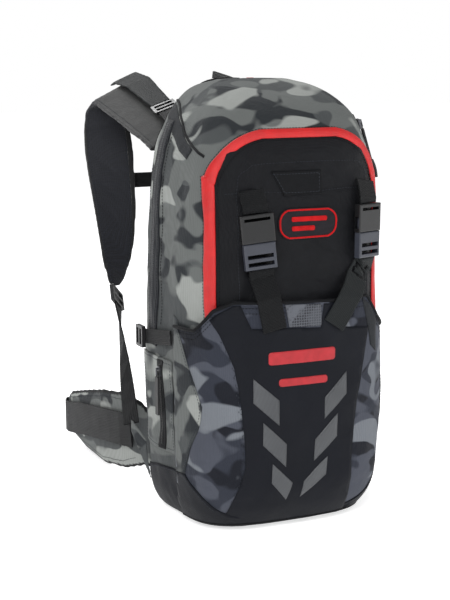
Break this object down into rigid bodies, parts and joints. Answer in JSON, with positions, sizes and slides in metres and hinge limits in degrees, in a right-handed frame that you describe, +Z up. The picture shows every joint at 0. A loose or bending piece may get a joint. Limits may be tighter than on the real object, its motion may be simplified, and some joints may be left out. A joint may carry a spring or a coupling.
{
  "type": "avalanche airbag backpack",
  "caption": "Upright snow touring backpack with stash pocket, hip belt and shoulder straps, holding a folded airbag, gas cylinder and pull trigger.",
  "frame": {"origin": "middle of the bag's flat base", "axes": "+Z up, -Y out of the front face, +Y towards the wearer, +X to the wearer's right"},
  "size_m": [0.2986, 0.496, 0.527],
  "materials": {
    "camo_fabric": "woven, printed in greys",
    "black_fabric": "plain weave, matt",
    "red_zip": "coated zip tape",
    "grey_flap": "ribbed",
    "zip_tape": "coated",
    "coated_panel": "coated fabric, slightly glossy",
    "reflective_print": "reflective grey print",
    "webbing": "flat woven nylon",
    "mesh_foam": "spacer mesh over foam",
    "lining": "thin lining",
    "hard_plastic": "moulded acetal",
    "grey_plastic": "moulded acetal",
    "frame_sheet": "smooth sheet",
    "stay_aluminium": "drawn bar",
    "airbag_nylon": "coated nylon, folded",
    "cylinder_paint": "powder coat",
    "cradle_foam": "moulded",
    "valve_metal": "machined",
    "hose_rubber": "braided sheath",
    "handle_red": "moulded grip",
    "zip_metal": "black lacquered zinc",
    "pull_rubber": "moulded over cord"
  },
  "bodies": {
    "pack": {"airbag_module": "airbag_nylon", "airbag_zip_flaps": "grey_flap", "back_pads": "mesh_foam", "back_panel": "mesh_foam", "bag_shell": "camo_fabric", "boot_panels": "coated_panel", "compression_buckle": "hard_plastic", "compression_straps": "webbing", "cylinder_cradle": "cradle_foam", "daisy_patch": "black_fabric", "divider": "lining", "frame_sheet": "frame_sheet", "frame_stays": "stay_aluminium", "front_buckle_socket_left": "hard_plastic", "front_buckle_socket_right": "hard_plastic", "front_panel": "black_fabric", "front_strap_loops": "webbing", "front_webbing_left": "webbing", "front_webbing_right": "webbing", "gas_cylinder": "cylinder_paint", "gas_hose": "hose_rubber", "haul_loop": "webbing", "ladder_locks": "hard_plastic", "lifter_webbing": "webbing", "load_lifter_flaps": "webbing", "lower_webbing": "webbing", "lumbar_pad": "mesh_foam", "pocket_panel": "coated_panel", "red_tab": "red_zip", "red_zip_band": "red_zip", "reflective_bars": "reflective_print", "shoulder_strap_left": "mesh_foam", "shoulder_strap_right": "mesh_foam", "side_fins": "camo_fabric", "side_pocket_left": "black_fabric", "stash_pocket": "camo_fabric", "sternum_rails": "webbing", "trigger_cable": "hose_rubber", "trigger_sleeve": "black_fabric", "valve_unit": "valve_metal", "zip_tapes": "zip_tape"},
    "belt_left": {"belt_wing_left": "camo_fabric", "belt_webbing_left": "webbing", "belt_buckle_socket": "hard_plastic"},
    "belt_right": {"belt_wing_right": "camo_fabric", "belt_webbing_right": "webbing", "belt_buckle_plug": "hard_plastic"},
    "plug_left": {"front_buckle_plug_left": "grey_plastic"},
    "plug_right": {"front_buckle_plug_right": "grey_plastic"},
    "sternum": {"sternum_sliders": "hard_plastic", "sternum_webbing_left": "webbing", "sternum_webbing_right": "webbing", "sternum_socket": "hard_plastic"},
    "sternum_release": {"sternum_plug": "hard_plastic"},
    "main_slider": {"main_zip_slider": "zip_metal"},
    "main_pull": {"main_zip_pull": "pull_rubber"},
    "side_slider": {"side_zip_slider": "zip_metal"},
    "side_pull": {"side_zip_pull": "pull_rubber"},
    "trigger": {"trigger_handle": "handle_red"},
    "plunger": {"valve_plunger": "valve_metal"}
  },
  "joints": [
    {"name": "belt_left_hinge", "type": "hinge", "parent": "pack", "child": "belt_left", "pos_m": [-0.112, 0.092, 0.074], "axis": [0, 0, 1], "range_deg": [-30, 8], "stiffness_Nm_per_rad": 0.6},
    {"name": "belt_right_hinge", "type": "hinge", "parent": "pack", "child": "belt_right", "pos_m": [0.112, 0.092, 0.074], "axis": [0, 0, 1], "range_deg": [-8, 30], "stiffness_Nm_per_rad": 0.6},
    {"name": "plug_left_release", "type": "slide", "parent": "pack", "child": "plug_left", "axis": [0.0987, -0.0153, -0.995], "range_m": [0, 0.016], "deforming": ["front_webbing_left"]},
    {"name": "plug_right_release", "type": "slide", "parent": "pack", "child": "plug_right", "axis": [-0.0184, -0.0079, -0.9998], "range_m": [0, 0.016], "deforming": ["front_webbing_right"]},
    {"name": "sternum_height", "type": "slide", "parent": "pack", "child": "sternum", "axis": [0, 0.0995, 0.995], "range_m": [-0.026, 0.026]},
    {"name": "sternum_plug_release", "type": "slide", "parent": "sternum", "child": "sternum_release", "axis": [1, 0, 0], "range_m": [0, 0.014], "deforming": ["sternum_webbing_right"]},
    {"name": "main_zip_slide", "type": "slide", "parent": "pack", "child": "main_slider", "axis": [-0.3039, 0, 0.9527], "range_m": [-0.026, 0]},
    {"name": "main_pull_swing", "type": "hinge", "parent": "main_slider", "child": "main_pull", "pos_m": [0.10733, -0.04082, 0.46778], "axis": [-0.1466, -0.9881, -0.0468], "range_deg": [0, 100]},
    {"name": "side_zip_slide", "type": "slide", "parent": "pack", "child": "side_slider", "axis": [0, 0, 1], "range_m": [-0.07, 0]},
    {"name": "side_pull_swing", "type": "hinge", "parent": "side_slider", "child": "side_pull", "pos_m": [-0.13564, 0.006, 0.1802], "axis": [0, 1, 0], "range_deg": [0, 100]},
    {"name": "trigger_pull", "type": "slide", "parent": "pack", "child": "trigger", "axis": [0.0057, -0.2991, -0.9542], "range_m": [0, 0.03]},
    {"name": "valve_plunge", "type": "slide", "parent": "pack", "child": "plunger", "axis": [0, 0, 1], "range_m": [0, 0.005]}
  ],
  "couplings": [
    {"joint": "valve_plunge", "follows": "trigger_pull", "ratio": 0.16667}
  ]
}
